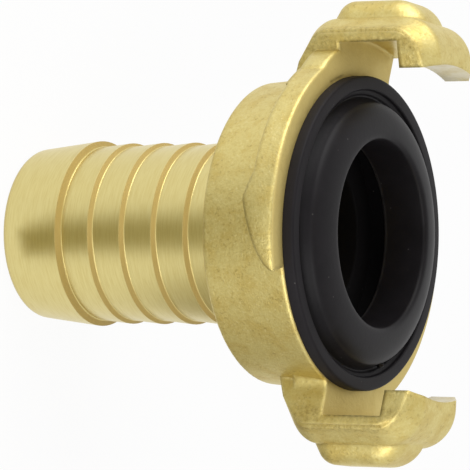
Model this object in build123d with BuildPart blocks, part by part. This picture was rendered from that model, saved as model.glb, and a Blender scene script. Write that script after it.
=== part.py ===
"""Claw coupling half with a barbed hose tail: a forged brass body and its rubber face seal.

Frame: millimetres, +Z along the coupling's axis from the tail end to the claws, origin on the
axis at the tail end. The two claws are centred on +X and -X.
"""

import os
from math import cos, radians, sin, tan

from build123d import *

# ---- Driving dimensions, hose tail ---------------------------------------------------------
WATERWAY_RADIUS = 9.3
TAIL_LENGTH = 34.3  # tail end to the back of the head
TAIL_END_RADIUS = 10.9
TAIL_END_ROUNDING = 0.9
BARB_COUNT = 5
BARB_PITCH = 4.65
BARB_RADIUS = 11.62  # crest of the barbs after the first
FIRST_BARB_RADIUS = 11.95
FIRST_BARB_HEIGHT = 8.7  # first crest above the tail end
GROOVE_RADIUS = 11.2  # foot of each barb's step
GROOVE_STEP = 0.55  # axial length of the drop behind each crest

# ---- Head ------------------------------------------------------------------------------------
HEAD_LENGTH = 11.6
HEAD_BACK_RADIUS = 19.0
HEAD_FRONT_RADIUS = 19.9
HEAD_BACK_ROUNDING = 0.4

# ---- Cam flanges, angles counted from the claw that each one starts at ----------------------
FLANGE_RADIUS = 22.25
FLANGE_THICKNESS = 3.4
FLANGE_HUMP = 0.95  # how far the detent stands behind the flange
FLANGE_HUMP_START = 76.5  # the hump's near foot
FLANGE_HUMP_LEAD = 6.0  # degrees of plain seat that are drawn with the hump
FLANGE_FOOT_BEND = 3.0
FLANGE_HUMP_ANGLE = 85.0  # its crest
FLANGE_CREST_BEND = 3.2
FLANGE_END_ANGLE = 107.0
FLANGE_TIP_THICKNESS = 0.5
FLANGE_EDGE_ROUNDING = 0.45

# ---- Claws -----------------------------------------------------------------------------------
CLAW_COUNT = 2
CLAW_HALF_ANGLE = 17.8
CLAW_WINDOW_LENGTH = 8.0  # front face to the back of the hook
ARM_INNER_RADIUS = 24.2
HOOK_INNER_RADIUS = 20.8
SPINE_RADIUS = 24.2  # the line that the shoulder section follows
SPINE_FRONT = 10.2  # ahead of the front face
SPINE_FRONT_BEND = 2.75
SPINE_BACK_BEND = 1.6
BACK_SLOPE = 29.5  # degrees that the spine's and the rib's backs lean off the radial
BACK_FOOT = 6.8  # behind the front face, at the spine's buried root
SHOULDER_EDGE_RISE = 0.45
SHOULDER_FOOT_HALF_WIDTH = 7.4
SHOULDER_HALF_WIDTH = 4.4
SHOULDER_RISE = 2.3
SHOULDER_ROUNDING = 1.1
SHOULDER_EDGE_ROUNDING = 0.35
SHOULDER_BACK_FOOT = 7.3
SHOULDER_BACK_SLOPE = 22.4
SHOULDER_BACK_BEND = 2.6
RIB_RADIUS = 29.0
RIB_HALF_WIDTH = 4.1
RIB_FRONT = 9.7
RIB_FRONT_BEND = 4.6
RIB_BACK_BEND = 2.5
RIB_BACK_FOOT = 8.5
RIB_EDGE_ROUNDING = 2.4
CLAW_ROOT_FILLET = 1.8
CLAW_ROOT_DEPTH = 4.6  # how far behind the front face the root fillets reach
FLANGE_ROOT_FILLET = 1.3
ROOT_REACH = 1.25  # how far a root fillet's sketch runs up the claw, in fillets
FLANGE_ROOT_SPAN = 40.0  # degrees of the flange that its root fillet is drawn on

# ---- Face seal and its recess ------------------------------------------------------------------
SEAL_CLEARANCE = 0.1
RECESS_NECK_RADIUS = 17.0
RECESS_NECK_DEPTH = 3.0
UNDERCUT_RADIUS = 17.9
UNDERCUT_DEPTH = 6.0
RECESS_FLOOR_RADIUS = 15.6
RECESS_DEPTH = 8.6
SEAL_RIM_RADIUS = 19.65
SEAL_RIM_HEIGHT = 1.5
SEAL_RIM_ROUNDING = 0.35
SEAL_GROOVE_OUTER = 18.0
SEAL_GROOVE_INNER = 16.75
SEAL_GROOVE_STEP = 0.5
SEAL_GROOVE_FLOOR = 0.5  # above the brass face
SEAL_LIP_RADIUS = 16.45
SEAL_LIP_SHOULDER = 1.7
SEAL_LIP_HEIGHT = 3.6
SEAL_LIP_EDGE_ROUNDING = 0.6
SEAL_LIP_CROWN_INSET = 1.5
SEAL_LIP_CROWN_HEIGHT = 2.95
SEAL_BORE_RADIUS = 11.7
SEAL_BORE_DEPTH = 2.6
SEAL_POCKET_RADIUS = 14.0
SEAL_POCKET_DEPTH = 5.4
SEAL_BACK_BORE_RADIUS = 10.2

# ---- Worked out from the driving dimensions ------------------------------------------------------
FACE_Z = TAIL_LENGTH + HEAD_LENGTH
CLAW_ANGLES = [index * 360.0 / CLAW_COUNT for index in range(CLAW_COUNT)]
EMBED = 1.5  # how far claws and flanges reach inside the head's wall
BLANK_HALF_WIDTH = 12.0  # half width of a claw before its sides are trimmed


def barb_outline() -> list[tuple[float, float]]:
    """Points of the tail's outside from the end's rounding to the last barb's foot."""
    points = []
    for index in range(BARB_COUNT):
        crest_z = FIRST_BARB_HEIGHT + index * BARB_PITCH
        crest_radius = FIRST_BARB_RADIUS if index == 0 else BARB_RADIUS
        points.append((crest_radius, crest_z))
        points.append((GROOVE_RADIUS, crest_z + GROOVE_STEP))
    return points


def side_profile(
    foot: float, back_bend: float, top: float, front_bend: float, front: float, slope: float = BACK_SLOPE
) -> None:
    """Draw a claw's side outline: sloping back, flat top and upright front, closed at its root."""
    root = HEAD_BACK_RADIUS - EMBED
    back_z = FACE_Z - foot
    FilletPolyline(
        (root, back_z),
        (top, back_z + (top - root) * tan(radians(slope))),
        (top, FACE_Z + front),
        (root, FACE_Z + front),
        radius=[0, back_bend, front_bend, 0],
        close=True,
    )


def rooted_claws(plan: BuildSketch, disc_radius: float, root_fillet: float) -> None:
    """Draw a disc with the claws' wedges on it in plan, and fillet the corners between them."""
    reach = disc_radius + ROOT_REACH * root_fillet
    across = reach * cos(radians(CLAW_HALF_ANGLE))
    half = reach * sin(radians(CLAW_HALF_ANGLE))
    Circle(disc_radius)
    with PolarLocations(0, CLAW_COUNT):
        Polygon((0, 0), (across, half), (across, -half), align=None)
    corners = plan.vertices().filter_by(
        lambda vertex: Vector(vertex.X, vertex.Y, 0).length < disc_radius + root_fillet
    )
    fillet(corners, radius=root_fillet)


# ---- Turned blank: tail, barbs and head in one revolve ------------------------------------------
with BuildPart() as turned_blank:
    with BuildSketch(Plane.XZ):
        with BuildLine():
            Polyline(
                (0, 0),
                (TAIL_END_RADIUS, 0),
                *barb_outline(),
                (BARB_RADIUS, TAIL_LENGTH - GROOVE_STEP),
                (BARB_RADIUS, TAIL_LENGTH),
                (HEAD_BACK_RADIUS, TAIL_LENGTH),
                (HEAD_FRONT_RADIUS, FACE_Z),
                (0, FACE_Z),
                close=True,
            )
        make_face()
    revolve(axis=Axis.Z)
    rings = turned_blank.edges().filter_by(GeomType.CIRCLE).sort_by(Axis.Z)
    fillet(rings[0], radius=TAIL_END_ROUNDING)
    head_rings = turned_blank.edges().filter_by(lambda edge: abs(edge.center().Z - TAIL_LENGTH) < EMBED / 10)
    fillet(head_rings.sort_by(SortBy.RADIUS)[-1], radius=HEAD_BACK_ROUNDING)

# ---- Cam flange: a ring sector whose back is a seat, a detent hump and a lead-in ramp -----------
with BuildPart() as cam_flange:
    deepest = FLANGE_THICKNESS + FLANGE_HUMP
    with BuildSketch(Plane.XZ):
        with Locations((HEAD_BACK_RADIUS - EMBED, FACE_Z)):
            Rectangle(FLANGE_RADIUS - HEAD_BACK_RADIUS + EMBED, deepest, align=(Align.MIN, Align.MAX))
    revolve(axis=Axis.Z, revolution_arc=FLANGE_END_ANGLE)
    # The seat that a mating hook rests on, as far as the foot of the hump.
    with BuildSketch(Plane.XZ):
        with Locations((0, FACE_Z - FLANGE_THICKNESS)):
            Rectangle(2 * FLANGE_RADIUS, deepest, align=(Align.MIN, Align.MAX))
    seat_end = FLANGE_HUMP_START - FLANGE_HUMP_LEAD
    revolve(axis=Axis.Z, revolution_arc=seat_end, mode=Mode.SUBTRACT)
    # The hump and the ramp, drawn on the plane that faces the hump's crest.
    crest_plane = Plane(
        origin=(0, 0, FACE_Z),
        x_dir=(-sin(radians(FLANGE_HUMP_ANGLE)), cos(radians(FLANGE_HUMP_ANGLE)), 0),
        z_dir=(cos(radians(FLANGE_HUMP_ANGLE)), sin(radians(FLANGE_HUMP_ANGLE)), 0),
    )
    lead_t = FLANGE_RADIUS * sin(radians(seat_end - FLANGE_HUMP_ANGLE)) - EMBED
    foot_t = FLANGE_RADIUS * sin(radians(FLANGE_HUMP_START - FLANGE_HUMP_ANGLE))
    end_t = FLANGE_RADIUS * sin(radians(FLANGE_END_ANGLE - FLANGE_HUMP_ANGLE))
    with BuildSketch(crest_plane) as cam_cut:
        with BuildLine():
            FilletPolyline(
                (lead_t, -FLANGE_THICKNESS),
                (foot_t, -FLANGE_THICKNESS),
                (0, -deepest),
                (end_t, -FLANGE_TIP_THICKNESS),
                (end_t + EMBED, -FLANGE_TIP_THICKNESS),
                (end_t + EMBED, -2 * deepest),
                (lead_t, -2 * deepest),
                radius=[0, FLANGE_FOOT_BEND, FLANGE_CREST_BEND, 0, 0, 0, 0],
                close=True,
            )
        make_face()
    extrude(amount=2 * FLANGE_RADIUS, mode=Mode.SUBTRACT)
    back_edges = cam_flange.edges().filter_by(
        lambda edge: all(
            abs(Vector(vertex.X, vertex.Y, 0).length - FLANGE_RADIUS) < EMBED / 100
            and vertex.Z < FACE_Z - FLANGE_TIP_THICKNESS / 2
            for vertex in edge.vertices()
        )
    )
    fillet(back_edges, radius=FLANGE_EDGE_ROUNDING)

# ---- Claw: solid core under the spine, shoulders swept along it and a raised rib ----------------
with BuildPart() as claw:
    with BuildSketch(Plane.XZ):
        with BuildLine():
            side_profile(BACK_FOOT, SPINE_BACK_BEND, SPINE_RADIUS, SPINE_FRONT_BEND, SPINE_FRONT)
        make_face()
    extrude(amount=BLANK_HALF_WIDTH, both=True)
    root = HEAD_BACK_RADIUS - EMBED
    with BuildLine() as spine:
        FilletPolyline(
            (root, 0, FACE_Z - BACK_FOOT),
            (SPINE_RADIUS, 0, FACE_Z - BACK_FOOT + (SPINE_RADIUS - root) * tan(radians(BACK_SLOPE))),
            (SPINE_RADIUS, 0, FACE_Z + SPINE_FRONT),
            (root, 0, FACE_Z + SPINE_FRONT),
            radius=[SPINE_BACK_BEND, SPINE_FRONT_BEND],
        )
    section_plane = Plane(origin=spine.line @ 0, x_dir=(0, -1, 0), z_dir=spine.line % 0)
    with BuildSketch(section_plane):
        with BuildLine():
            Polyline(
                (-SHOULDER_FOOT_HALF_WIDTH, -EMBED),
                (-SHOULDER_FOOT_HALF_WIDTH, SHOULDER_EDGE_RISE),
                (-SHOULDER_HALF_WIDTH, SHOULDER_RISE),
                (SHOULDER_HALF_WIDTH, SHOULDER_RISE),
                (SHOULDER_FOOT_HALF_WIDTH, SHOULDER_EDGE_RISE),
                (SHOULDER_FOOT_HALF_WIDTH, -EMBED),
                close=True,
            )
        section = make_face()
        heights = section.vertices().group_by(lambda vertex: round(section_plane.to_local_coords(vertex).Y, 3))
        fillet(heights[-1], radius=SHOULDER_ROUNDING)
        fillet(heights[-2], radius=SHOULDER_EDGE_ROUNDING)
    sweep()
    # The back is flatter than the shoulders are.
    with BuildSketch(Plane.XZ):
        with BuildLine():
            side_profile(
                SHOULDER_BACK_FOOT,
                SHOULDER_BACK_BEND,
                SPINE_RADIUS + SHOULDER_RISE,
                SPINE_FRONT_BEND + SHOULDER_RISE,
                SPINE_FRONT + SHOULDER_RISE,
                SHOULDER_BACK_SLOPE,
            )
        make_face()
    extrude(amount=BLANK_HALF_WIDTH, both=True, mode=Mode.INTERSECT)
    # The sides are radial planes.
    with BuildSketch(Plane.XY.offset(FACE_Z - 2 * HEAD_LENGTH)):
        reach = 2 * RIB_RADIUS
        half = reach * tan(radians(CLAW_HALF_ANGLE))
        with BuildLine():
            Polyline((0, 0), (reach, half), (reach, -half), close=True)
        make_face()
    extrude(amount=4 * HEAD_LENGTH, mode=Mode.INTERSECT)

with BuildPart() as rib:
    with BuildSketch(Plane.XZ):
        with BuildLine():
            side_profile(RIB_BACK_FOOT, RIB_BACK_BEND, RIB_RADIUS, RIB_FRONT_BEND, RIB_FRONT)
        make_face()
    extrude(amount=RIB_HALF_WIDTH, both=True)
    rib_faces = rib.faces().filter_by(Axis.Y)
    outer_edges = rib_faces.edges().filter_by(lambda edge: edge.center().X > HEAD_FRONT_RADIUS + EMBED)
    fillet(outer_edges, radius=RIB_EDGE_ROUNDING)

# ---- Coupling body: the one forging, then its turned window, hooks, recess and waterway ----------
with BuildPart() as coupling_body:
    add(turned_blank.part)
    for angle in CLAW_ANGLES:
        add(cam_flange.part, rotation=(0, 0, angle))
        add(claw.part, rotation=(0, 0, angle))
        add(rib.part, rotation=(0, 0, angle))
    # Fillets that carry each claw's sides into the head, drawn in plan.
    with BuildSketch(Plane.XY.offset(FACE_Z)) as claw_roots:
        rooted_claws(claw_roots, (HEAD_BACK_RADIUS + HEAD_FRONT_RADIUS) / 2, CLAW_ROOT_FILLET)
    extrude(amount=-CLAW_ROOT_DEPTH)
    # The same on the side where a flange starts, from the flange's rim.
    with BuildSketch(Plane.XY.offset(FACE_Z)) as flange_roots:
        rooted_claws(flange_roots, FLANGE_RADIUS, FLANGE_ROOT_FILLET)
        reach = 2 * FLANGE_RADIUS
        span = radians(FLANGE_ROOT_SPAN)
        with PolarLocations(0, CLAW_COUNT):
            Polygon(
                (0, 0),
                (reach * cos(span), reach * sin(span)),
                (-reach, reach),
                (-reach, 0),
                align=None,
                mode=Mode.SUBTRACT,
            )
    extrude(amount=-FLANGE_THICKNESS)
    # The space under each hook and the hook's inner face, both turned about the axis.
    with BuildSketch(Plane.XY.offset(FACE_Z)):
        Circle(ARM_INNER_RADIUS)
    extrude(amount=CLAW_WINDOW_LENGTH, mode=Mode.SUBTRACT)
    with BuildSketch(Plane.XY.offset(FACE_Z)):
        Circle(HOOK_INNER_RADIUS)
    extrude(amount=2 * CLAW_WINDOW_LENGTH, mode=Mode.SUBTRACT)
    # Stepped recess with the undercut that holds the seal, and the waterway behind it.
    with BuildSketch(Plane.XZ):
        with BuildLine():
            Polyline(
                (0, 0),
                (WATERWAY_RADIUS, 0),
                (WATERWAY_RADIUS, FACE_Z - RECESS_DEPTH),
                (RECESS_FLOOR_RADIUS, FACE_Z - RECESS_DEPTH),
                (RECESS_FLOOR_RADIUS, FACE_Z - UNDERCUT_DEPTH),
                (UNDERCUT_RADIUS, FACE_Z - UNDERCUT_DEPTH),
                (UNDERCUT_RADIUS, FACE_Z - RECESS_NECK_DEPTH),
                (RECESS_NECK_RADIUS, FACE_Z - RECESS_NECK_DEPTH),
                (RECESS_NECK_RADIUS, FACE_Z),
                (0, FACE_Z),
                close=True,
            )
        make_face()
    revolve(axis=Axis.Z, mode=Mode.SUBTRACT)

# ---- Face seal: rim on the brass face, bead in the undercut, domed lip with a pocket behind it ----
with BuildPart() as face_seal:
    seal_back = FACE_Z - RECESS_DEPTH + SEAL_CLEARANCE
    bead_back = FACE_Z - UNDERCUT_DEPTH + SEAL_CLEARANCE
    bead_front = FACE_Z - RECESS_NECK_DEPTH - SEAL_CLEARANCE
    rim_top = FACE_Z + SEAL_RIM_HEIGHT
    groove_middle = (SEAL_GROOVE_OUTER + SEAL_GROOVE_INNER) / 2
    lip_edge = FACE_Z + SEAL_LIP_HEIGHT - SEAL_LIP_EDGE_ROUNDING
    with BuildSketch(Plane.XZ):
        with BuildLine():
            Polyline(
                (SEAL_BORE_RADIUS, lip_edge),
                (SEAL_BORE_RADIUS, FACE_Z - SEAL_BORE_DEPTH),
                (SEAL_POCKET_RADIUS, FACE_Z - SEAL_BORE_DEPTH),
                (SEAL_POCKET_RADIUS, FACE_Z - SEAL_POCKET_DEPTH),
                (SEAL_BACK_BORE_RADIUS, FACE_Z - SEAL_POCKET_DEPTH),
                (SEAL_BACK_BORE_RADIUS, seal_back),
                (RECESS_FLOOR_RADIUS - SEAL_CLEARANCE, seal_back),
                (RECESS_FLOOR_RADIUS - SEAL_CLEARANCE, bead_back),
                (UNDERCUT_RADIUS - SEAL_CLEARANCE, bead_back),
                (UNDERCUT_RADIUS - SEAL_CLEARANCE, bead_front),
                (RECESS_NECK_RADIUS - SEAL_CLEARANCE, bead_front),
                (RECESS_NECK_RADIUS - SEAL_CLEARANCE, FACE_Z),
                (SEAL_RIM_RADIUS, FACE_Z),
                (SEAL_RIM_RADIUS, rim_top),
                (SEAL_GROOVE_OUTER, rim_top),
                (SEAL_GROOVE_OUTER, rim_top - SEAL_GROOVE_STEP),
                (groove_middle, rim_top - SEAL_GROOVE_STEP),
                (groove_middle, FACE_Z + SEAL_GROOVE_FLOOR),
                (SEAL_LIP_RADIUS, FACE_Z + SEAL_GROOVE_FLOOR),
                (SEAL_LIP_RADIUS, FACE_Z + SEAL_LIP_SHOULDER),
            )
            crown_start = (SEAL_BORE_RADIUS + SEAL_LIP_EDGE_ROUNDING, FACE_Z + SEAL_LIP_HEIGHT)
            ThreePointArc(
                (SEAL_LIP_RADIUS, FACE_Z + SEAL_LIP_SHOULDER),
                (SEAL_LIP_RADIUS - SEAL_LIP_CROWN_INSET, FACE_Z + SEAL_LIP_CROWN_HEIGHT),
                crown_start,
            )
            RadiusArc(crown_start, (SEAL_BORE_RADIUS, lip_edge), -SEAL_LIP_EDGE_ROUNDING)
        make_face()
    revolve(axis=Axis.Z)
    rim_edge = face_seal.edges().filter_by(GeomType.CIRCLE).sort_by(lambda edge: edge.radius)[-2:]
    fillet(rim_edge.sort_by(Axis.Z)[-1], radius=SEAL_RIM_ROUNDING)

# ---- Written pieces --------------------------------------------------------------------------------
os.makedirs("parts", exist_ok=True)
for name, piece in (("coupling_body", coupling_body), ("face_seal", face_seal)):
    piece.part.label = name
    export_step(piece.part, f"parts/{name}.step")
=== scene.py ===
"""Studio scene of a claw coupling half: forged brass body, barbed hose tail and rubber face seal.

Metres throughout. +Z runs along the coupling's axis from the tail end to the claws, and the
claws stand on +X and -X.
"""

import logging
import math
from dataclasses import dataclass, field
from enum import Enum
from typing import Any, Callable, Mapping, Optional, Sequence, Union

import bpy
from mathutils import Matrix, Vector


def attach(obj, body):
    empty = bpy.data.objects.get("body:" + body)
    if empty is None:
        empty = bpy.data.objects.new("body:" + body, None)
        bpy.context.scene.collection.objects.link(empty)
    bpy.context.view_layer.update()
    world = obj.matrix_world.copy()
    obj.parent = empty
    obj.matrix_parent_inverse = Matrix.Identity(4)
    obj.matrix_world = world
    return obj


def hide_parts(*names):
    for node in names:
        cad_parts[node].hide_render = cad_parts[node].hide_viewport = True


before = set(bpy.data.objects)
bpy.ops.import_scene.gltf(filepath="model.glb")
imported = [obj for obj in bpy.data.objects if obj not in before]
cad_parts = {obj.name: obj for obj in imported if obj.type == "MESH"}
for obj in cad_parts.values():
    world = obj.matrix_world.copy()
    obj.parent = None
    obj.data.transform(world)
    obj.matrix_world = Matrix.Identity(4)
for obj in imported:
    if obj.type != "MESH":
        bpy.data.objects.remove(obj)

LOG = logging.getLogger("claw_coupling")
MM = 0.001
SPIN_RADIUS = 2.0  # where a sector's blank square stands before its points are settled
SECTOR_MERGE = 0.004 * MM
SEAL_MERGE = 0.002 * MM
FORGED_EDGE_ANGLE = math.radians(50.0)
FORGED_SMOOTH_ANGLE = math.radians(40.0)

Number = Union[int, float]
Colour = tuple[float, float, float]


class Node(Enum):
    """Names of the carried-over CAD nodes."""

    BODY = "coupling_body"
    SEAL = "face_seal"


class Slot(Enum):
    """Material slots of the record."""

    BRASS = "forged_brass"
    RUBBER = "seal_rubber"


# ---------------------------------------------------------------- shader maths


class Signal:
    """A value that runs through a node tree, with arithmetic that adds Math nodes."""

    def __init__(self, bench: "Bench", socket: bpy.types.NodeSocket) -> None:
        """Wraps one output socket.

        Args:
            bench: The bench whose tree holds the socket.
            socket: The output socket to wrap.
        """
        self.bench = bench
        self.socket = socket

    def _with(self, operation: str, *others: Union["Signal", Number]) -> "Signal":
        """Runs one Math node on this signal.

        Args:
            operation: The Math node's operation.
            others: The second and third operands.

        Returns:
            The node's result.
        """
        inputs = {0: self, **{i + 1: other for i, other in enumerate(others)}}
        return self.bench.add("ShaderNodeMath", {"operation": operation}, inputs)

    def _after(self, operation: str, first: Number) -> "Signal":
        """Runs one Math node with a plain number as its first operand.

        Args:
            operation: The Math node's operation.
            first: The first operand.

        Returns:
            The node's result.
        """
        return self.bench.add("ShaderNodeMath", {"operation": operation}, {0: first, 1: self})

    def __add__(self, other: Union["Signal", Number]) -> "Signal":
        """Returns self + other."""
        return self._with("ADD", other)

    def __radd__(self, other: Number) -> "Signal":
        """Returns other + self."""
        return self._after("ADD", other)

    def __sub__(self, other: Union["Signal", Number]) -> "Signal":
        """Returns self - other."""
        return self._with("SUBTRACT", other)

    def __rsub__(self, other: Number) -> "Signal":
        """Returns other - self."""
        return self._after("SUBTRACT", other)

    def __mul__(self, other: Union["Signal", Number]) -> "Signal":
        """Returns self * other."""
        return self._with("MULTIPLY", other)

    def __rmul__(self, other: Number) -> "Signal":
        """Returns other * self."""
        return self._after("MULTIPLY", other)

    def __truediv__(self, other: Union["Signal", Number]) -> "Signal":
        """Returns self / other."""
        return self._with("DIVIDE", other)

    def __abs__(self) -> "Signal":
        """Returns the absolute value."""
        return self._with("ABSOLUTE")

    def root(self) -> "Signal":
        """Returns the square root."""
        return self._with("SQRT")

    def greater(self, other: Union["Signal", Number]) -> "Signal":
        """Returns the larger of the two values."""
        return self._with("MAXIMUM", other)

    def step(self, low: Number, high: Number) -> "Signal":
        """Rises smoothly from 0 at low to 1 at high, or falls if low is the larger.

        Args:
            low: The value at which the result is 0.
            high: The value at which the result is 1.

        Returns:
            The smooth step.
        """
        rising = low < high
        inputs = {
            "Value": self,
            "From Min": low if rising else high,
            "From Max": high if rising else low,
            "To Min": 0.0 if rising else 1.0,
            "To Max": 1.0 if rising else 0.0,
        }
        return self.bench.add("ShaderNodeMapRange", {"interpolation_type": "SMOOTHSTEP"}, inputs)

    def band(self, low: Number, high: Number, soft: Number) -> "Signal":
        """Is 1 between low and high and 0 outside, with soft ends.

        Args:
            low: The lower end of the band.
            high: The upper end of the band.
            soft: The width over which each end fades.

        Returns:
            The band's mask.
        """
        return self.step(low - soft, low + soft) * self.step(high + soft, high - soft)


Input = Union[Signal, Number, Sequence[float]]


class Bench:
    """Builds one material's node tree."""

    def __init__(self, tree: bpy.types.NodeTree) -> None:
        """Starts on an empty tree.

        Args:
            tree: The node tree to fill.
        """
        self.tree = tree
        tree.nodes.clear()

    def node(
        self,
        kind: str,
        settings: Optional[Mapping[str, Any]] = None,
        inputs: Optional[Mapping[Union[int, str], Input]] = None,
    ) -> bpy.types.Node:
        """Adds a node, sets it up, then fills its sockets.

        Args:
            kind: The node's type.
            settings: Properties of the node, set before its sockets.
            inputs: Values or signals by socket name or number.

        Returns:
            The new node.
        """
        made = self.tree.nodes.new(kind)
        for name, value in (settings or {}).items():
            setattr(made, name, value)
        for name, value in (inputs or {}).items():
            socket = made.inputs[name]
            if isinstance(value, Signal):
                self.tree.links.new(value.socket, socket)
            elif isinstance(value, tuple) and socket.type == "RGBA":
                socket.default_value = (*value, 1.0)
            else:
                socket.default_value = value
        return made

    def add(
        self,
        kind: str,
        settings: Optional[Mapping[str, Any]] = None,
        inputs: Optional[Mapping[Union[int, str], Input]] = None,
        output: Union[int, str] = 0,
    ) -> Signal:
        """Adds a node and returns one of its outputs.

        Args:
            kind: The node's type.
            settings: Properties of the node.
            inputs: Values or signals by socket name or number.
            output: Which output to return.

        Returns:
            The chosen output.
        """
        return Signal(self, self.node(kind, settings, inputs).outputs[output])

    def place(self) -> Signal:
        """Returns the point's place on the piece."""
        return self.add("ShaderNodeTexCoord", output="Object")

    def seen(self) -> Signal:
        """Marks the rays that show the set, straight or by reflection.

        Returns:
            1 for camera, glossy and transmission rays, and 0 for those that only light.
        """
        rays = self.node("ShaderNodeLightPath")
        marked = Signal(self, rays.outputs["Is Camera Ray"])
        for name in ("Is Glossy Ray", "Is Transmission Ray"):
            marked = marked.greater(Signal(self, rays.outputs[name]))
        return marked

    def split(self, vector: Signal) -> tuple[Signal, Signal, Signal]:
        """Splits a vector into its three parts.

        Args:
            vector: The vector to split.

        Returns:
            The x, y and z parts.
        """
        made = self.node("ShaderNodeSeparateXYZ", inputs={0: vector})
        return tuple(Signal(self, made.outputs[i]) for i in range(3))

    def stretch(self, vector: Signal, scale: tuple[float, float, float]) -> Signal:
        """Scales a place so that a pattern on it is drawn out.

        Args:
            vector: The place.
            scale: The factor along x, y and z.

        Returns:
            The scaled place.
        """
        return self.add("ShaderNodeMapping", inputs={"Vector": vector, "Scale": scale})

    def noise(self, vector: Signal, size: float, detail: float = 2.0, rough: float = 0.5) -> Signal:
        """Adds soft noise.

        Args:
            vector: The place it is read at.
            size: The width of a blotch in metres.
            detail: The number of finer layers.
            rough: The strength of the finer layers.

        Returns:
            The noise, from about 0 to 1.
        """
        inputs = {"Vector": vector, "Scale": 1.0 / size, "Detail": detail, "Roughness": rough}
        return self.add("ShaderNodeTexNoise", inputs=inputs)

    def pits(self, vector: Signal, size: float) -> Signal:
        """Adds cells, as small dents of one size.

        Args:
            vector: The place it is read at.
            size: The width of a cell in metres.

        Returns:
            The distance from the nearest cell's middle, in cells.
        """
        return self.add("ShaderNodeTexVoronoi", inputs={"Vector": vector, "Scale": 1.0 / size})

    def blend(self, share: Input, first: Input, second: Input) -> Signal:
        """Mixes two colours.

        Args:
            share: The second colour's share.
            first: The first colour.
            second: The second colour.

        Returns:
            The mixed colour.
        """
        made = self.tree.nodes.new("ShaderNodeMix")
        made.data_type = "RGBA"
        for index, value in ((0, share), (6, first), (7, second)):
            if isinstance(value, Signal):
                self.tree.links.new(value.socket, made.inputs[index])
            else:
                made.inputs[index].default_value = (*value, 1.0) if index else value
        return Signal(self, made.outputs[2])

    def turn(self, share: Signal, first: Signal, second: Signal) -> Signal:
        """Mixes two directions.

        Args:
            share: The second direction's share.
            first: The first direction.
            second: The second direction.

        Returns:
            The mixed direction.
        """
        made = self.tree.nodes.new("ShaderNodeMix")
        made.data_type = "VECTOR"
        for index, value in ((0, share), (4, first), (5, second)):
            self.tree.links.new(value.socket, made.inputs[index])
        mixed = Signal(self, made.outputs[1])
        return self.add("ShaderNodeVectorMath", {"operation": "NORMALIZE"}, {0: mixed})

    def bump(self, height: Signal, depth: float, under: Optional[Signal] = None) -> Signal:
        """Turns a height into a tilted surface direction.

        Args:
            height: The height, from 0 to 1.
            depth: The height of 1 in metres.
            under: The direction that the bump starts from.

        Returns:
            The tilted direction.
        """
        inputs: dict[str, Input] = {"Height": height, "Distance": depth, "Strength": 1.0}
        if under is not None:
            inputs["Normal"] = under
        return self.add("ShaderNodeBump", inputs=inputs)

    def close(self, shader: Signal, surface: str = "ShaderNodeOutputMaterial") -> None:
        """Ends the tree in its output.

        Args:
            shader: The shader to show.
            surface: The type of the output node.
        """
        self.node(surface, inputs={"Surface": shader})


def new_material(name: str, fill: Callable[[Bench], None]) -> bpy.types.Material:
    """Makes a node material.

    Args:
        name: The material's name.
        fill: Builds its tree.

    Returns:
        The material.
    """
    made = bpy.data.materials.new(name)
    made.use_nodes = True
    fill(Bench(made.node_tree))
    return made


# ---------------------------------------------------------------- finishes


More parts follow.
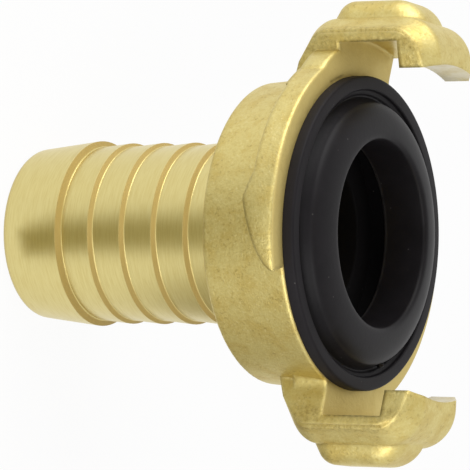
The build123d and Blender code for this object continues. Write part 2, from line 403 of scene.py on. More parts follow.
@dataclass(frozen=True)
class BrassFinish:
    """Blasted forging on the head, turned hose tail, and bright machined seats, all on one body."""

    cast: Colour = (0.655, 0.555, 0.225)
    cast_warm: Colour = (0.56, 0.43, 0.13)
    turned: Colour = (0.72, 0.62, 0.27)
    machined: Colour = (0.74, 0.68, 0.50)
    # Colour of the barbs' drops, also used for the painted shade from occlusion.
    groove: Colour = (0.38, 0.255, 0.055)
    face: Colour = (0.64, 0.52, 0.21)
    edge: Colour = (0.80, 0.71, 0.40)
    rough_cast: float = 0.47
    rough_turned: float = 0.33
    # Colour of real stains and of the painted shade in the rib creases.
    stain_and_crease_shade: Colour = (0.34, 0.25, 0.075)
    grain: float = 0.32 * MM
    speck: float = 0.46 * MM
    furrow_place: float = 7.25 * MM
    blotch: float = 2.6 * MM
    pit: float = 1.1 * MM
    tool_mark: float = 0.16 * MM
    tail_top: float = 34.3 * MM
    face_height: float = 45.9 * MM
    hook_radius: float = 20.8 * MM
    recess_radius: float = 17.9 * MM
    crest_heights: tuple[float, ...] = (8.70 * MM, 13.35 * MM, 18.00 * MM, 22.65 * MM, 27.30 * MM)
    drop: float = 0.55 * MM
    soft_edge: float = 0.80 * MM
    crisp_edge: float = 0.12 * MM
    # Reach of the occlusion that paints shade into the brass.
    shade_reach: float = 1.6 * MM
    relief_depth: float = 0.040 * MM
    furrow_width: float = 0.95 * MM
    claw_side_radius: float = 22.6 * MM
    groove_floor_radius: float = 10.0 * MM

    def fill(self, bench: Bench) -> None:
        """Builds the brass.

        Args:
            bench: The bench to build on.
        """
        place = bench.place()
        x, y, z = bench.split(place)
        radius = (x * x + y * y).root()
        geometry = bench.node("ShaderNodeNewGeometry")
        facing = Signal(bench, geometry.outputs["Normal"])
        east, north, up = bench.split(facing)

        tail = z.step(self.tail_top + 0.1 * MM, self.tail_top - 0.1 * MM)
        above = z.step(self.face_height + 0.15 * MM, self.face_height + 0.45 * MM)
        inward = (x * east + y * north) / radius * -1.0
        bore_side = above * inward.step(0.6, 0.9)
        seat = bore_side * radius.step(self.hook_radius + 0.9 * MM, self.hook_radius + 0.5 * MM)
        front = z.band(self.face_height - 0.2 * MM, self.face_height + 0.3 * MM, 0.1 * MM)
        front = up.step(0.90, 0.97) * front
        inside = radius.step(self.recess_radius + 0.2 * MM, self.recess_radius) * (1 - tail)
        shallow = radius.step(self.groove_floor_radius, self.groove_floor_radius + 0.6 * MM)
        grooves = self._grooves(z) * tail * shallow

        blotches = bench.noise(place, self.blotch, 4.0, 0.6)
        grain = bench.noise(place, self.grain, 3.0, 0.65)
        dents = bench.pits(place, self.pit)
        specks = bench.noise(place, self.speck, 2.0, 0.6)
        # The creases beside the claws' ribs: a dent in the bump, and painted shade in the colour.
        furrow = abs(abs(y) - self.furrow_place).step(self.furrow_width, 0.10 * MM)
        furrow = furrow * radius.step(self.claw_side_radius, self.claw_side_radius + 0.8 * MM)
        furrow = furrow * (1 - bore_side)
        cast = self._cast_colour(bench, blotches, grain, specks, furrow)
        streak = bench.noise(bench.stretch(place, (0.06, 0.06, 1.0)), self.tool_mark, 2.0, 0.6)
        turned = bench.blend(streak.step(0.35, 0.70) * 0.35, self.turned, self.cast_warm)
        colour = bench.blend(tail, cast, turned)
        colour = bench.blend(seat * (0.35 + blotches.step(0.62, 0.40) * 0.5), colour, self.machined)
        colour = bench.blend(front * 0.75, colour, self.face)
        colour = bench.blend(inside * 0.6, colour, self.face)
        colour = bench.blend(grooves * 0.85, colour, self.groove)

        soft = bench.add("ShaderNodeBevel", {"samples": 8}, {"Radius": self.soft_edge})
        crisp = bench.add("ShaderNodeBevel", {"samples": 4}, {"Radius": self.crisp_edge})
        dot = {"operation": "DOT_PRODUCT"}
        cut = bench.add("ShaderNodeVectorMath", dot, {0: crisp, 1: facing}, 1)
        worn = cut.step(0.995, 0.90) * (1 - tail)
        colour = bench.blend(worn * 0.30, colour, self.edge)
        # Painted shade: where ambient occlusion finds the brass hemmed in, in creases, under the claws and
        # beside the seal, it is darkened towards the groove colour.
        reach = {"Distance": self.shade_reach}
        open_air = bench.add("ShaderNodeAmbientOcclusion", {"samples": 6}, reach, 1)
        painted_shade = open_air.step(0.85, 0.35) * (0.45 + blotches * 0.5) * (1 - front * 0.6)
        colour = bench.blend(painted_shade * 0.55, colour, self.groove)

        made = tail.greater(bore_side)
        rounded = bench.turn(made, soft, crisp)
        forged = grain * 1.0 + specks * 0.8 + dents * 0.45 + blotches * 0.5 - furrow * 1.3
        relief = forged * (1 - made) + streak * 0.30 * made
        normal = bench.bump(relief, self.relief_depth, rounded)
        rough = self.rough_cast + (grain - 0.5) * 0.16 + (blotches - 0.5) * 0.10
        rough = rough * (1 - made) + self.rough_turned * made + (streak - 0.5) * made * 0.10
        rough = rough + grooves * 0.34 + front * 0.20
        shader = bench.add(
            "ShaderNodeBsdfPrincipled",
            inputs={
                "Base Color": colour,
                "Metallic": 1 - grooves * 0.8,
                "Roughness": rough,
                "Normal": normal,
            },
        )
        bench.close(shader)

    def _cast_colour(
        self, bench: Bench, blotches: Signal, grain: Signal, specks: Signal, furrow: Signal
    ) -> Signal:
        """Colours the blasted skin of the forging, with painted shade in the rib creases.

        Args:
            bench: The bench to build on.
            blotches: The widest mottling.
            grain: The blasting's fine grain.
            specks: The small dark specks.
            furrow: The mask of the creases beside the claws' ribs.

        Returns:
            The skin's colour.
        """
        shade_speckle = (specks * 0.6 + grain * 0.4).step(0.34, 0.66)
        cast = bench.blend(blotches.step(0.38, 0.74) * 0.8, self.cast, self.cast_warm)
        cast = bench.blend(grain.step(0.52, 0.30) * 0.55, cast, self.cast_warm)
        cast = bench.blend(grain.step(0.56, 0.72) * 0.35, cast, self.edge)
        # Real stains: dark specks within the mottling.
        stained = specks.step(0.56, 0.72) * blotches.step(0.38, 0.60)
        cast = bench.blend(stained * 0.50, cast, self.stain_and_crease_shade)
        # Painted shade along the rib creases, broken up by specks and grain.
        return bench.blend(furrow * shade_speckle * 0.62, cast, self.stain_and_crease_shade)

    def _grooves(self, height: Signal) -> Signal:
        """Masks the drops behind the barbs.

        Args:
            height: The height along the axis.

        Returns:
            The mask.
        """
        lines: Optional[Signal] = None
        for crest in self.crest_heights:
            line = (height - crest).band(-0.04 * MM, self.drop - 0.06 * MM, 0.07 * MM)
            lines = line if lines is None else lines.greater(line)
        assert lines is not None
        return lines


@dataclass(frozen=True)
class RubberFinish:
    """Black moulded rubber with an uneven haze, painted satin sheen on the rim, a painted highlight on the
    bore's edge, painted shade down the bore, and a little dust.
    """

    black: Colour = (0.0085, 0.0075, 0.0085)
    # Colour of the uneven haze and of the painted sheen on the rim.
    bloom_and_sheen: Colour = (0.0145, 0.0125, 0.0145)
    # Colour of the painted shade down the bore.
    bore_shade: Colour = (0.003, 0.0025, 0.0025)
    edge: Colour = (0.040, 0.037, 0.039)
    # Colour of the painted highlight on the bore's edge.
    dust: Colour = (0.085, 0.080, 0.075)
    rough: float = 0.44
    rough_rim: float = 0.55
    rim_radius: float = 17.4 * MM
    bore_end: float = 43.3 * MM
    bore_radius: float = 11.7 * MM
    dust_pitch: float = 1.5 * MM
    grain: float = 0.45 * MM
    haze: float = 3.0 * MM
    soft_edge: float = 0.18 * MM
    relief_depth: float = 0.012 * MM
    sheen: float = 0.13

    def fill(self, bench: Bench) -> None:
        """Builds the rubber.

        Args:
            bench: The bench to build on.
        """
        place = bench.place()
        x, y, z = bench.split(place)
        radius = (x * x + y * y).root()
        # Painted shade: the rubber down the bore, behind its front end, is darkened towards black and made
        # rougher.
        bore_shade = z.step(self.bore_end - 0.3 * MM, self.bore_end - 0.8 * MM)
        rim = radius.step(self.rim_radius - 0.2 * MM, self.rim_radius + 0.2 * MM)
        haze = bench.noise(place, self.haze, 4.0, 0.6)
        grain = bench.noise(place, self.grain, 3.0, 0.6)
        # The haze is an uneven tone of the rubber; the lighter rim is painted sheen.
        colour = bench.blend(haze.step(0.3, 0.75) * 0.5 + rim * 0.4, self.black, self.bloom_and_sheen)
        colour = bench.blend(bore_shade * 0.7, colour, self.bore_shade)
        # Painted highlight: a faint lighter band on the rounded edge where the lip's bore ends.
        rounded = z.band(self.bore_end + 0.10 * MM, self.bore_end + 0.55 * MM, 0.22 * MM)
        rounded = rounded * radius.step(self.bore_radius + 0.9 * MM, self.bore_radius + 0.5 * MM)
        colour = bench.blend(rounded * haze.step(0.30, 0.55), colour, self.edge)
        dust = bench.pits(place, self.dust_pitch).step(0.075, 0.045) * haze.step(0.50, 0.58)
        colour = bench.blend(dust * 0.8, colour, self.dust)
        rough = self.rough + rim * (self.rough_rim - self.rough) + (haze - 0.5) * 0.12 + bore_shade * 0.35
        soft = bench.add("ShaderNodeBevel", {"samples": 6}, {"Radius": self.soft_edge})
        normal = bench.bump(grain + haze * 0.6, self.relief_depth, soft)
        shader = bench.add(
            "ShaderNodeBsdfPrincipled",
            inputs={
                "Base Color": colour,
                "Roughness": rough,
                "Normal": normal,
                "Specular IOR Level": self.sheen,
            },
        )
        bench.close(shader)


@dataclass(frozen=True)
class FloorFinish:
    """A plain white floor that shows as white and keeps a faint shadow."""

    white: Colour = (0.92, 0.92, 0.92)
    lift: float = 0.93

    def fill(self, bench: Bench) -> None:
        """Builds the floor.

        Args:
            bench: The bench to build on.
        """
        seen = bench.seen()
        plain = bench.add("ShaderNodeBsdfDiffuse", inputs={"Color": self.white})
        glow = bench.add("ShaderNodeEmission", inputs={"Color": (1.0, 1.0, 1.0), "Strength": 1.0})
        mixed = bench.add("ShaderNodeMixShader", inputs={0: seen * self.lift, 1: plain, 2: glow})
        below = bench.add("ShaderNodeNewGeometry", output="Backfacing")
        clear = bench.add("ShaderNodeBsdfTransparent")
        bench.close(bench.add("ShaderNodeMixShader", inputs={0: below, 1: mixed, 2: clear}))


# ---------------------------------------------------------------- studio


@dataclass
class SoftBox:
    """A square soft lamp that points at the coupling."""

    name: str
    towards: Vector
    distance: float
    width: float
    height: float
    power: float

    def build(self, target: Vector) -> bpy.types.Object:
        """Hangs the lamp.

        Args:
            target: The point it is aimed at.

        Returns:
            The lamp.
        """
        lamp = bpy.data.lights.new(self.name, "AREA")
        lamp.shape = "RECTANGLE"
        lamp.size, lamp.size_y, lamp.energy = self.width, self.height, self.power
        made = bpy.data.objects.new(self.name, lamp)
        bpy.context.scene.collection.objects.link(made)
        made.location = target + self.towards.normalized() * self.distance
        made.rotation_euler = (made.location - target).to_track_quat("Z", "Y").to_euler()
        return made


@dataclass(frozen=True)
class CardFinish:
    """Dull brown board that polished metal picks up as its darker bands, paler towards its sides."""

    brown: Colour = (0.40, 0.37, 0.23)
    pale: Colour = (0.965, 0.965, 0.965)
    near_start: float = -13.6 * MM
    near_end: float = -10.8 * MM
    middle: float = 3.0 * MM
    apex: float = -8.0 * MM
    spread: float = 0.86
    fades: bool = True

    def fill(self, bench: Bench) -> None:
        """Builds the board.

        Args:
            bench: The bench to build on.
        """
        place = bench.place()
        grain = bench.noise(place, 20.0 * MM, 3.0)
        board = bench.add(
            "ShaderNodeBsdfPrincipled",
            inputs={"Base Color": self.brown, "Roughness": 0.8 + grain * 0.1, "Specular IOR Level": 0.1},
        )
        if not self.fades:
            bench.close(board)
            return
        x, y, _ = bench.split(place)
        across = abs(x - self.middle) / ((self.apex - y) * self.spread)
        near = y.step(self.near_start, self.near_end)
        floor = bench.add("ShaderNodeEmission", inputs={"Color": self.pale, "Strength": 1.0})
        share = across.step(0.15, 1.0).greater(near)
        bench.close(bench.add("ShaderNodeMixShader", inputs={0: share, 1: board, 2: floor}))


@dataclass
class Card:
    """A board beside the set that only reflections see."""

    name: str
    centre: Vector
    near_width: float
    far_width: float
    depth: float
    tilt: float = 0.0
    finish: CardFinish = field(default_factory=CardFinish)

    def build(self) -> bpy.types.Object:
        """Lays the board down face up, then tilts it about its middle.

        Returns:
            The board.
        """
        bpy.ops.object.select_all(action="DESELECT")
        bpy.ops.mesh.primitive_plane_add(size=1.0)
        made = bpy.context.active_object
        made.name = self.name
        for corner in made.data.vertices:
            width = self.near_width if corner.co.y > 0 else self.far_width
            corner.co = (corner.co.x * width, corner.co.y * self.depth, 0.0)
        made.rotation_euler = (self.tilt, 0.0, 0.0)
        made.location = self.centre
        bpy.ops.object.transform_apply(location=True, rotation=True, scale=True)
        made.data.materials.append(new_material(self.name + "_board", self.finish.fill))
        made.visible_camera = False
        made.visible_shadow = False
        made.visible_diffuse = False
        return made


@dataclass
class Viewpoint:
    """The camera: where it stands around the coupling, and how it is turned."""

    target: Vector = field(default_factory=lambda: Vector((0.9951, -8.1841, 32.9043)) * MM)
    azimuth: float = math.radians(-84.367)
    elevation: float = math.radians(29.570)
    turn: float = math.radians(90.0)
    distance: float = 500.0 * MM
    lens: float = 307.37
    sensor: float = 36.0

    def direction(self) -> Vector:
        """Returns the direction from the coupling to the camera."""
        flat = math.cos(self.elevation)
        east, north = flat * math.cos(self.azimuth), flat * math.sin(self.azimuth)
        return Vector((east, north, math.sin(self.elevation)))

    def build(self) -> bpy.types.Object:
        """Places the camera.

        Returns:
            The camera.
        """
        data = bpy.data.cameras.new("studio_camera")
        data.lens, data.sensor_width, data.sensor_fit = self.lens, self.sensor, "HORIZONTAL"
        data.clip_start, data.clip_end = 0.01, 20.0
        made = bpy.data.objects.new("studio_camera", data)
        bpy.context.scene.collection.objects.link(made)
        made.location = self.target + self.direction() * self.distance
        upright = Matrix.Rotation(self.azimuth + math.pi / 2, 4, "Z")
        tipped = Matrix.Rotation(math.pi / 2 - self.elevation, 4, "X")
        made.rotation_euler = (upright @ tipped @ Matrix.Rotation(self.turn, 4, "Z")).to_euler()
        bpy.context.scene.camera = made
        return made


@dataclass
class Studio:
    """Floor, lamps, surroundings and camera."""

    floor_size: float = 3.0
    floor_drop: float = 0.05 * MM
    world_level: float = 0.55
    viewpoint: Viewpoint = field(default_factory=Viewpoint)
    floor_finish: FloorFinish = field(default_factory=FloorFinish)
    plain_board: CardFinish = field(default_factory=lambda: CardFinish(brown=(0.36, 0.33, 0.20), fades=False))
    grey_board: CardFinish = field(default_factory=lambda: CardFinish(brown=(0.60, 0.57, 0.47), fades=False))
    target: Vector = field(default_factory=lambda: Vector((0.0, 0.0, 0.03)))

    def build(self) -> None:
        """Sets the whole studio up."""
        self._floor()
        self._world()
        for box in self._lamps():
            box.build(self.target)
            LOG.info("lamp %s", box.name)
        for card in self._cards():
            card.build()
            LOG.info("card %s", card.name)
        self.viewpoint.build()
        bpy.context.scene.view_settings.view_transform = "Standard"

    def _lamps(self) -> list[SoftBox]:
        """Returns the lamps, one each side of the coupling."""
        return [
            SoftBox(
                name="lamp_upper",
                towards=Vector((-1.0, -0.35, 0.35)),
                distance=0.55,
                width=0.50,
                height=0.50,
                power=2.6,
            ),
            SoftBox(
                name="lamp_lower",
                towards=Vector((0.8, -0.95, 0.10)),
                distance=0.55,
                width=0.45,
                height=0.45,
                power=2.1,
            ),
        ]

    def _cards(self) -> list[Card]:
        """Returns the dull boards: two low in front, one beside, one above the camera."""
        return [
            Card(
                name="card_low",
                centre=Vector((0.0020, -0.0565, 0.002)),
                near_width=0.012,
                far_width=0.130,
                depth=0.092,
            ),
            Card(
                name="card_far",
                centre=Vector((-0.0250, -0.1300, 0.002)),
                near_width=0.050,
                far_width=0.050,
                depth=0.055,
                finish=self.plain_board,
            ),
            Card(
                name="card_side",
                centre=Vector((0.0850, -0.0400, 0.001)),
                near_width=0.100,
                far_width=0.100,
                depth=0.150,
                finish=self.grey_board,
            ),
            Card(
                name="card_high",
                centre=Vector((0.0, -0.32, 0.55)),
                near_width=0.36,
                far_width=0.36,
                depth=0.40,
                tilt=math.radians(-150.3),
                finish=self.plain_board,
            ),
        ]

    def _floor(self) -> None:
        """Lays the floor under the tail end."""
        bpy.ops.object.select_all(action="DESELECT")
        bpy.ops.mesh.primitive_plane_add(size=self.floor_size, location=(0.0, 0.0, -self.floor_drop))
        made = bpy.context.active_object
        made.name = "studio_floor"
        made.data.materials.append(new_material("floor_white", self.floor_finish.fill))

    def _world(self) -> None:
        """Surrounds the set with white that lights it at a plain level."""
        world = bpy.data.worlds.new("studio_world")
        world.use_nodes = True
        bpy.context.scene.world = world
        bench = Bench(world.node_tree)
        level = bench.seen() * (1.0 - self.world_level) + self.world_level
        sky = bench.add("ShaderNodeBackground", inputs={"Color": (1.0, 1.0, 1.0), "Strength": level})
        bench.close(sky, "ShaderNodeOutputWorld")


# ---------------------------------------------------------------- the coupling


@dataclass
class BrassBody:
    """The forged body in its finish, with the rounded run-outs behind its cam flanges."""

    finish: BrassFinish = field(default_factory=BrassFinish)

    def build(self) -> list[bpy.types.Object]:
        """Dresses the body.

        Returns:
            The body's pieces.
        """
        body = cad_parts[Node.BODY.value]
        brass = new_material("blasted_and_turned_brass", self.finish.fill)
        dress(body, brass)
        return [body, *CamRunOut(finish=brass).build(), *FlangeRoot(finish=brass).build()]


@dataclass
class FaceSeal:
    """The rubber face seal: a turned section with a clipped rim, a stepped groove and a domed lip."""

    face: float = 45.9 * MM
    facets: int = 144
    rim_radius: float = 19.65 * MM
    rim_height: float = 1.5 * MM
    neck_radius: float = 16.9 * MM
    bead_radius: float = 17.8 * MM
    bead_front: float = -3.1 * MM
    bead_back: float = -5.9 * MM
    back_radius: float = 15.5 * MM
    back: float = -8.5 * MM
    back_bore_radius: float = 10.2 * MM
    pocket_radius: float = 14.0 * MM
    pocket_back: float = -5.4 * MM
    pocket_front: float = -2.6 * MM
    bore_radius: float = 11.7 * MM
    lip_height: float = 3.6 * MM
    lip_radius: float = 16.45 * MM
    lip_foot: float = 1.7 * MM
    dome_steps: int = 14
    nub_angle: float = 17.0
    nub_radius: float = 16.75 * MM
    nub_height: float = 1.35 * MM
    nub_size: tuple[float, float, float] = (0.50 * MM, 0.42 * MM, 0.50 * MM)
    edge_step: float = 0.12 * MM  # unit of the chamfer-like points that round an edge
    crown_width: float = 0.6 * MM  # from the bore's wall to the lip's crest
    crown_steps: int = 4
    dome_width_power: float = 1.12
    dome_height_power: float = 0.92
    nub_lump: float = 0.16
    nub_waves: tuple[float, float] = (5.0, 4.0)
    crease_angle: float = 32.0
    # Radius and height above the brass face, in mm, from the rim's crown down the two steps of
    # the groove and up to the lip's foot.
    groove: tuple[tuple[float, float], ...] = (
        (18.08, 1.47),
        (17.96, 1.38),
        (17.86, 1.02),
        (17.74, 0.94),
        (17.46, 0.90),
        (17.36, 0.82),
        (17.24, 0.60),
        (17.08, 0.55),
        (16.94, 0.66),
        (16.70, 1.15),
    )
    finish: RubberFinish = field(default_factory=RubberFinish)

    def build(self) -> list[bpy.types.Object]:
        """Models and dresses the seal.

        Returns:
            The seal's pieces.
        """
        seal = self._turned(self._section())
        nub = self._nub()
        bpy.ops.object.select_all(action="DESELECT")
        nub.select_set(True)
        seal.select_set(True)
        bpy.context.view_layer.objects.active = seal
        bpy.ops.object.join()
        bpy.ops.object.shade_smooth_by_angle(angle=math.radians(self.crease_angle))
        dress(seal, new_material("moulded_black_rubber", self.finish.fill))
        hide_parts(Node.SEAL.value)
        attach(seal, "root")
        return [seal]

    def _section(self) -> list[tuple[float, float]]:
        """Lists the section's points, from the bore round the back, up the rim and over the lip.

        Returns:
            Pairs of radius and height above the brass face.
        """
        bevel = self.edge_step
        lower = [
            (self.bore_radius, self.pocket_front + 6.0 * bevel),
            (self.bore_radius + 0.4 * bevel, self.pocket_front + 3.5 * bevel),
            (self.bore_radius + 1.4 * bevel, self.pocket_front + 1.6 * bevel),
            (self.bore_radius + 3.0 * bevel, self.pocket_front + 0.4 * bevel),
            (self.bore_radius + 5.0 * bevel, self.pocket_front),
            (self.pocket_radius, self.pocket_front),
            (self.pocket_radius, self.pocket_back),
            (self.back_bore_radius + 3.0 * bevel, self.pocket_back),
            (self.back_bore_radius + bevel, self.pocket_back - 0.5 * bevel),
            (self.back_bore_radius, self.pocket_back - 2.0 * bevel),
            (self.back_bore_radius, self.back),
            (self.back_radius, self.back),
            (self.back_radius, self.bead_back),
            (self.bead_radius, self.bead_back),
            (self.bead_radius, self.bead_front),
            (self.neck_radius, self.bead_front),
            (self.neck_radius, 0.0),
        ]
        rim = [
            (self.rim_radius, 0.0),
            (self.rim_radius, self.rim_height - 2.6 * bevel),
            (self.rim_radius - 0.4 * bevel, self.rim_height - 1.2 * bevel),
            (self.rim_radius - 1.2 * bevel, self.rim_height - 0.4 * bevel),
            (self.rim_radius - 2.8 * bevel, self.rim_height),
        ]
        groove = [(radius * MM, height * MM) for radius, height in self.groove]
        return lower + rim + groove + self._dome()

    def _dome(self) -> list[tuple[float, float]]:
        """Lists the points over the lip, from its foot to the bore's edge.

        Returns:
            Pairs of radius and height above the brass face.
        """
        crest = self.bore_radius + self.crown_width
        points = []
        for step in range(self.dome_steps + 1):
            turn = 0.5 * math.pi * step / self.dome_steps
            across = math.cos(turn) ** self.dome_width_power
            upward = math.sin(turn) ** self.dome_height_power
            points.append((
                crest + (self.lip_radius - crest) * across,
                self.lip_foot + (self.lip_height - self.lip_foot) * upward,
            ))
        for step in range(1, self.crown_steps + 1):
            turn = 0.5 * math.pi * step / self.crown_steps
            points.append((
                crest - self.crown_width * math.sin(turn),
                self.lip_height - self.crown_width * (1.0 - math.cos(turn)),
            ))
        return points

    def _turned(self, section: list[tuple[float, float]]) -> bpy.types.Object:
        """Turns a closed section into a ring, one extruded loop after another.

        Args:
            section: Pairs of radius and height above the brass face.

        Returns:
            The ring.
        """
        first = section[0]
        bpy.ops.object.select_all(action="DESELECT")
        bpy.ops.mesh.primitive_circle_add(
            vertices=self.facets, radius=first[0], location=(0.0, 0.0, self.face + first[1])
        )
        made = bpy.context.active_object
        made.name = "face_seal_moulding"
        bpy.ops.object.transform_apply(location=True, rotation=True, scale=True)
        bpy.ops.object.mode_set(mode="EDIT")
        bpy.ops.mesh.select_all(action="SELECT")
        radius, height = first
        for wide, high in section[1:] + [first]:
            bpy.ops.mesh.extrude_edges_move()
            pivot = (0.0, 0.0, self.face + height)
            share = wide / radius
            bpy.ops.transform.resize(value=(share, share, 1.0), center_override=pivot)
            bpy.ops.transform.translate(value=(0.0, 0.0, high - height))
            radius, height = wide, high
        bpy.ops.mesh.select_all(action="SELECT")
        bpy.ops.mesh.remove_doubles(threshold=SEAL_MERGE)
        bpy.ops.mesh.normals_make_consistent(inside=False)
        bpy.ops.object.mode_set(mode="OBJECT")
        return made

    def _nub(self) -> bpy.types.Object:
        """Models the torn flash that the mould left in the groove.

        Returns:
            The nub.
        """
        angle = math.radians(self.nub_angle)
        place = (
            self.nub_radius * math.cos(angle),
            self.nub_radius * math.sin(angle),
            self.face + self.nub_height,
        )
        bpy.ops.object.select_all(action="DESELECT")
        bpy.ops.mesh.primitive_ico_sphere_add(subdivisions=3, radius=1.0)
        made = bpy.context.active_object
        made.name = "seal_nub"
        long_wave, cross_wave = self.nub_waves
        for index, point in enumerate(made.data.vertices):
            ripple = math.sin(long_wave * point.co.x + 1.0) * math.cos(cross_wave * point.co.y + index % 2)
            lump = 1.0 + self.nub_lump * ripple
            point.co = Vector(lump * part * size for part, size in zip(point.co, self.nub_size))
        made.rotation_euler = (0.0, 0.0, angle)
        made.location = place
        bpy.ops.object.transform_apply(location=True, rotation=True, scale=True)
        return made


@dataclass
class CamRunOut:
    """The full, rounded run-out behind each cam flange, from the detent's crest to the flange's end."""

    face: float = 45.9 * MM
    flange_radius: float = 22.27 * MM
    root_radius: float = 18.2 * MM
    recess: float = 0.02 * MM
    lead_angle: float = 76.0
    flush_angle: float = 81.5
    lead_sink: float = 0.12 * MM
    crest_angle: float = 85.0
    end_angle: float = 107.5
    foot_angle: float = 76.5
    seat_depth: float = 3.4 * MM
    crest_depth: float = 4.35 * MM
    soft_depth: float = 4.24 * MM
    columns: int = 40
    edge_round: float = 0.42 * MM
    claws: int = 2
    finish: Optional[bpy.types.Material] = None

    def build(self) -> list[bpy.types.Object]:
        """Models one run-out for each flange and dresses them.

        Returns:
            The run-outs.
        """
        return [self._one(index) for index in range(self.claws)]

    def _depth(self, angle: float) -> float:
        """Gives how far behind the face the run-out reaches.

        Args:
            angle: Degrees from its claw.

        Returns:
            The depth behind the brass face.
        """
        lead = self.crest_depth - (self.crest_depth - self.seat_depth) * (
            (self.crest_angle - angle) / (self.crest_angle - self.foot_angle)
        )
        left = max(0.0, (self.end_angle - angle) / (self.end_angle - self.crest_angle))
        return min(lead, self.soft_depth * math.sqrt(left))

    def _one(self, index: int) -> bpy.types.Object:
        """Models the run-out of one flange.

        Args:
            index: Which flange it stands behind.

        Returns:
            The run-out.
        """
        turn = math.radians(self.end_angle - self.lead_angle)
        start = math.radians(self.lead_angle + index * 360.0 / self.claws)

        def settle(share: float, outer: bool, front: bool) -> tuple[float, float, float]:
            """Places one point of the shell.

            Args:
                share: Its share of the way along the sector.
                outer: Whether it lies on the outer side.
                front: Whether it lies on the front.

            Returns:
                The radius, angle and height.
            """
            along = turn * (1.0 - (1.0 - share) ** 2)
            degrees = math.degrees(along)
            short = max(0.0, 1.0 - degrees / (self.flush_angle - self.lead_angle))
            radius = self.flange_radius - self.lead_sink * short if outer else self.root_radius
            depth = self.recess if front else max(self._depth(self.lead_angle + degrees), self.recess)
            return radius, start + along, self.face - depth

        made = ring_sector(f"cam_run_out_{index + 1}", self.columns, turn, settle)
        finish_forging(made, self.edge_round, self.finish)
        return made


@dataclass
class FlangeRoot:
    """The web that widens each cam flange where it grows out of its claw."""

    face: float = 45.9 * MM
    flange_radius: float = 22.2 * MM
    widenings: tuple[float, ...] = (2.0 * MM, 1.1 * MM)
    sunk: float = 0.10 * MM
    root_radius: float = 19.75 * MM
    start_angle: float = 14.0
    claw_angle: float = 17.8
    end_angle: float = 31.0
    thickness: float = 3.38 * MM
    proud: float = 0.02 * MM
    taper_power: float = 1.6
    tuck: float = 0.1 * MM
    start_fade: float = 0.2
    end_fade: float = 0.25
    columns: int = 24
    edge_round: float = 0.45 * MM
    claws: int = 2
    finish: Optional[bpy.types.Material] = None

    def build(self) -> list[bpy.types.Object]:
        """Models one web for each flange and dresses them.

        Returns:
            The webs.
        """
        return [self._one(index) for index in range(self.claws)]

    def _one(self, index: int) -> bpy.types.Object:
        """Models the web at one flange's root.

        Args:
            index: Which flange it belongs to.

        Returns:
            The web.
        """
        turn = math.radians(self.end_angle - self.start_angle)
        start = math.radians(self.start_angle + index * 360.0 / self.claws)

        def settle(share: float, outer: bool, front: bool) -> tuple[float, float, float]:
            """Places one point of the shell.

            Args:
                share: Its share of the way along the sector.
                outer: Whether it lies on the outer side.
                front: Whether it lies on the front.

            Returns:
                The radius, angle and height.
            """
            angle = self.start_angle + share * (self.end_angle - self.start_angle)
            gone = max(0.0, (angle - self.claw_angle) / (self.end_angle - self.claw_angle))
            wide = self.widenings[index] * (1.0 - gone ** self.taper_power) - self.tuck * gone
            radius = self.flange_radius + wide if outer else self.root_radius
            leaving = (share - (1.0 - self.end_fade)) / self.end_fade
            near_end = max(0.0, 1.0 - share / self.start_fade, leaving)
            lift = self.proud - self.sunk * near_end if front else -self.thickness
            return radius, start + share * turn, self.face + lift

        made = ring_sector(f"flange_root_web_{index + 1}", self.columns, turn, settle)
        finish_forging(made, self.edge_round, self.finish)
        return made


def finish_forging(piece: bpy.types.Object, rounding: float, material: Optional[bpy.types.Material]) -> None:
    """Rounds a forged piece's edges, dresses it and fastens it to the body.

    Args:
        piece: The piece.
        rounding: The width of its rounded edges.
        material: The brass.
    """
    bpy.context.view_layer.objects.active = piece
    bevel = piece.modifiers.new("edge_round", "BEVEL")
    bevel.width, bevel.segments = rounding, 3
    bevel.limit_method, bevel.angle_limit = "ANGLE", FORGED_EDGE_ANGLE
    bpy.ops.object.modifier_apply(modifier=bevel.name)
    bpy.ops.object.shade_smooth_by_angle(angle=FORGED_SMOOTH_ANGLE)
    dress(piece, material)
    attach(piece, "root")


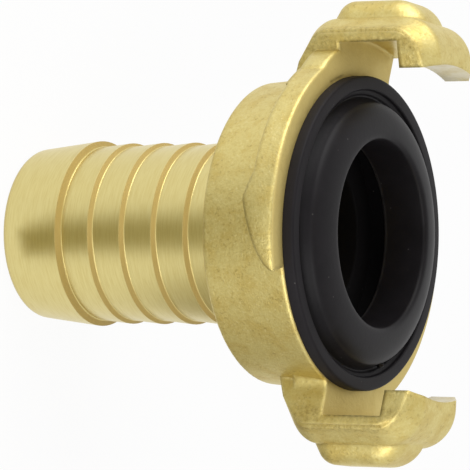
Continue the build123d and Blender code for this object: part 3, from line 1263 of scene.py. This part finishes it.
def ring_sector(
    name: str, columns: int, turn: float, settle: Callable[[float, bool, bool], tuple[float, float, float]]
) -> bpy.types.Object:
    """Spins a closed sector of a ring about the axis and settles its points.

    Args:
        name: The piece's name.
        columns: The number of steps along the sector.
        turn: The angle it is spun through.
        settle: Gives radius, angle and height from a share of the turn, outer or inner, front or back.

    Returns:
        The sector, one closed shell.
    """
    bpy.ops.object.select_all(action="DESELECT")
    bpy.ops.mesh.primitive_plane_add(size=1.0, rotation=(math.pi / 2, 0.0, 0.0))
    made = bpy.context.active_object
    made.name = name
    bpy.ops.object.transform_apply(location=True, rotation=True, scale=True)
    for corner in made.data.vertices:
        corner.co.x += SPIN_RADIUS
    bpy.ops.object.mode_set(mode="EDIT")
    bpy.ops.mesh.select_all(action="SELECT")
    bpy.ops.mesh.spin(steps=columns, angle=turn, center=(0.0, 0.0, 0.0), axis=(0.0, 0.0, 1.0), dupli=False)
    bpy.ops.object.mode_set(mode="OBJECT")
    for point in made.data.vertices:
        share = abs(math.atan2(point.co.y, point.co.x)) / turn
        outer = math.hypot(point.co.x, point.co.y) > SPIN_RADIUS
        radius, angle, height = settle(share, outer, point.co.z > 0.0)
        point.co = (radius * math.cos(angle), radius * math.sin(angle), height)
    bpy.ops.object.mode_set(mode="EDIT")
    bpy.ops.mesh.select_all(action="SELECT")
    bpy.ops.mesh.remove_doubles(threshold=SECTOR_MERGE)
    bpy.ops.mesh.normals_make_consistent(inside=False)
    bpy.ops.object.mode_set(mode="OBJECT")
    return made


def dress(piece: bpy.types.Object, material: bpy.types.Material) -> None:
    """Gives a piece one material.

    Args:
        piece: The piece to dress.
        material: The material to give it.
    """
    if not piece.material_slots:
        piece.data.materials.append(material)
    for place in piece.material_slots:
        place.material = material


def main() -> None:
    """Builds the studio and dresses the coupling."""
    logging.basicConfig(level=logging.INFO, format="%(name)s: %(message)s")
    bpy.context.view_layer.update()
    Studio().build()
    for part in (BrassBody(), FaceSeal()):
        for piece in part.build():
            LOG.info("piece %s", piece.name)


if __name__ == "__main__":
    main()
